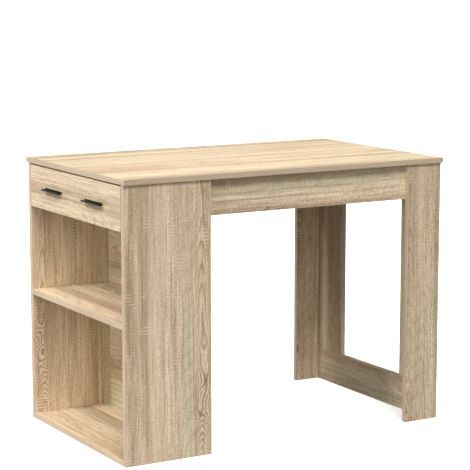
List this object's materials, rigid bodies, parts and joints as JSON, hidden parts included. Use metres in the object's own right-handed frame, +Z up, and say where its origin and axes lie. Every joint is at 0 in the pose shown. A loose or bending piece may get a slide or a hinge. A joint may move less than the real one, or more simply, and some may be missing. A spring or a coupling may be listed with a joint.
{
  "type": "computer desk",
  "caption": "Writing desk with an open side cabinet, a wide drawer that slides out of its end on roller runners, two aprons and a board leg with a low rail.",
  "frame": {"origin": "on the floor, under the middle of the desk's outline, handles included", "axes": "+X along the desk from the cabinet to the leg, -Y towards the sitter, +Z up; the drawer opens towards -X"},
  "size_m": [1.031, 0.62, 0.765],
  "materials": {
    "oak_foil": "light oak grain foil on particle board, satin, with matching edge band",
    "backing_sheet": "thin fibreboard sheet with a pale printed face",
    "black_metal": "matte black powder coat",
    "white_rail": "white epoxy coat on folded steel",
    "roller_plastic": "moulded nylon",
    "zinc": "bright zinc plate"
  },
  "bodies": {
    "desk": {"back_apron": "oak_foil", "cabinet_back_panel": "oak_foil", "cabinet_floor": "oak_foil", "cabinet_front_panel": "oak_foil", "cabinet_inner_panel": "oak_foil", "cabinet_rail_back": "white_rail", "cabinet_rail_front": "white_rail", "cabinet_rail_screw_back_far": "zinc", "cabinet_rail_screw_back_near": "zinc", "cabinet_rail_screw_front_far": "zinc", "cabinet_rail_screw_front_near": "zinc", "cabinet_shelf": "oak_foil", "cam_bolt_inner_back": "zinc", "cam_bolt_inner_front": "zinc", "cam_bolt_leg_back": "zinc", "cam_bolt_leg_front": "zinc", "cam_bolt_outer_back": "zinc", "cam_bolt_outer_front": "zinc", "cam_inner_back": "zinc", "cam_inner_front": "zinc", "cam_leg_back": "zinc", "cam_leg_front": "zinc", "cam_outer_back": "zinc", "cam_outer_front": "zinc", "front_apron": "oak_foil", "leg_back_board": "oak_foil", "leg_back_side_board": "oak_foil", "leg_bottom_rail": "oak_foil", "leg_front_board": "oak_foil", "leg_front_side_board": "oak_foil", "roller_pin_cabinet_back": "zinc", "roller_pin_cabinet_front": "zinc", "tabletop": "oak_foil"},
    "drawer": {"drawer_back_wall": "oak_foil", "drawer_bottom_sheet": "backing_sheet", "drawer_end_wall": "oak_foil", "drawer_face": "oak_foil", "drawer_front_wall": "oak_foil", "drawer_rail_back": "white_rail", "drawer_rail_front": "white_rail", "drawer_rail_screw_back_far": "zinc", "drawer_rail_screw_back_near": "zinc", "drawer_rail_screw_front_far": "zinc", "drawer_rail_screw_front_near": "zinc", "end_screw_back_high": "zinc", "end_screw_back_low": "zinc", "end_screw_front_high": "zinc", "end_screw_front_low": "zinc", "handle_back": "black_metal", "handle_front": "black_metal", "handle_screw_back_a": "zinc", "handle_screw_back_b": "zinc", "handle_screw_front_a": "zinc", "handle_screw_front_b": "zinc", "roller_pin_drawer_back": "zinc", "roller_pin_drawer_front": "zinc"},
    "roller_cabinet_back": {"roller_cabinet_back": "roller_plastic"},
    "roller_cabinet_front": {"roller_cabinet_front": "roller_plastic"},
    "roller_drawer_back": {"roller_drawer_back": "roller_plastic"},
    "roller_drawer_front": {"roller_drawer_front": "roller_plastic"}
  },
  "joints": [
    {"name": "drawer_slide", "type": "slide", "parent": "desk", "child": "drawer", "axis": [-1, 0, 0], "range_m": [0, 0.17]},
    {"name": "roller_cabinet_back_spin", "type": "hinge", "parent": "desk", "child": "roller_cabinet_back", "pos_m": [-0.4725, 0.2804, 0.6468], "axis": [0, -1, 0], "range_deg": [0, 1090.3]},
    {"name": "roller_cabinet_front_spin", "type": "hinge", "parent": "desk", "child": "roller_cabinet_front", "pos_m": [-0.4725, -0.2804, 0.6468], "axis": [0, -1, 0], "range_deg": [0, 1090.3]},
    {"name": "roller_drawer_back_spin", "type": "hinge", "parent": "drawer", "child": "roller_drawer_back", "pos_m": [-0.2825, 0.2791, 0.6463], "axis": [0, -1, 0], "range_deg": [0, 1090.3]},
    {"name": "roller_drawer_front_spin", "type": "hinge", "parent": "drawer", "child": "roller_drawer_front", "pos_m": [-0.2825, -0.2791, 0.6463], "axis": [0, -1, 0], "range_deg": [0, 1090.3]}
  ],
  "couplings": [
    {"joint": "roller_cabinet_back_spin", "follows": "drawer_slide", "rad_per_m": 111.11},
    {"joint": "roller_cabinet_front_spin", "follows": "drawer_slide", "rad_per_m": 111.11},
    {"joint": "roller_drawer_back_spin", "follows": "drawer_slide", "rad_per_m": 111.11},
    {"joint": "roller_drawer_front_spin", "follows": "drawer_slide", "rad_per_m": 111.11}
  ]
}
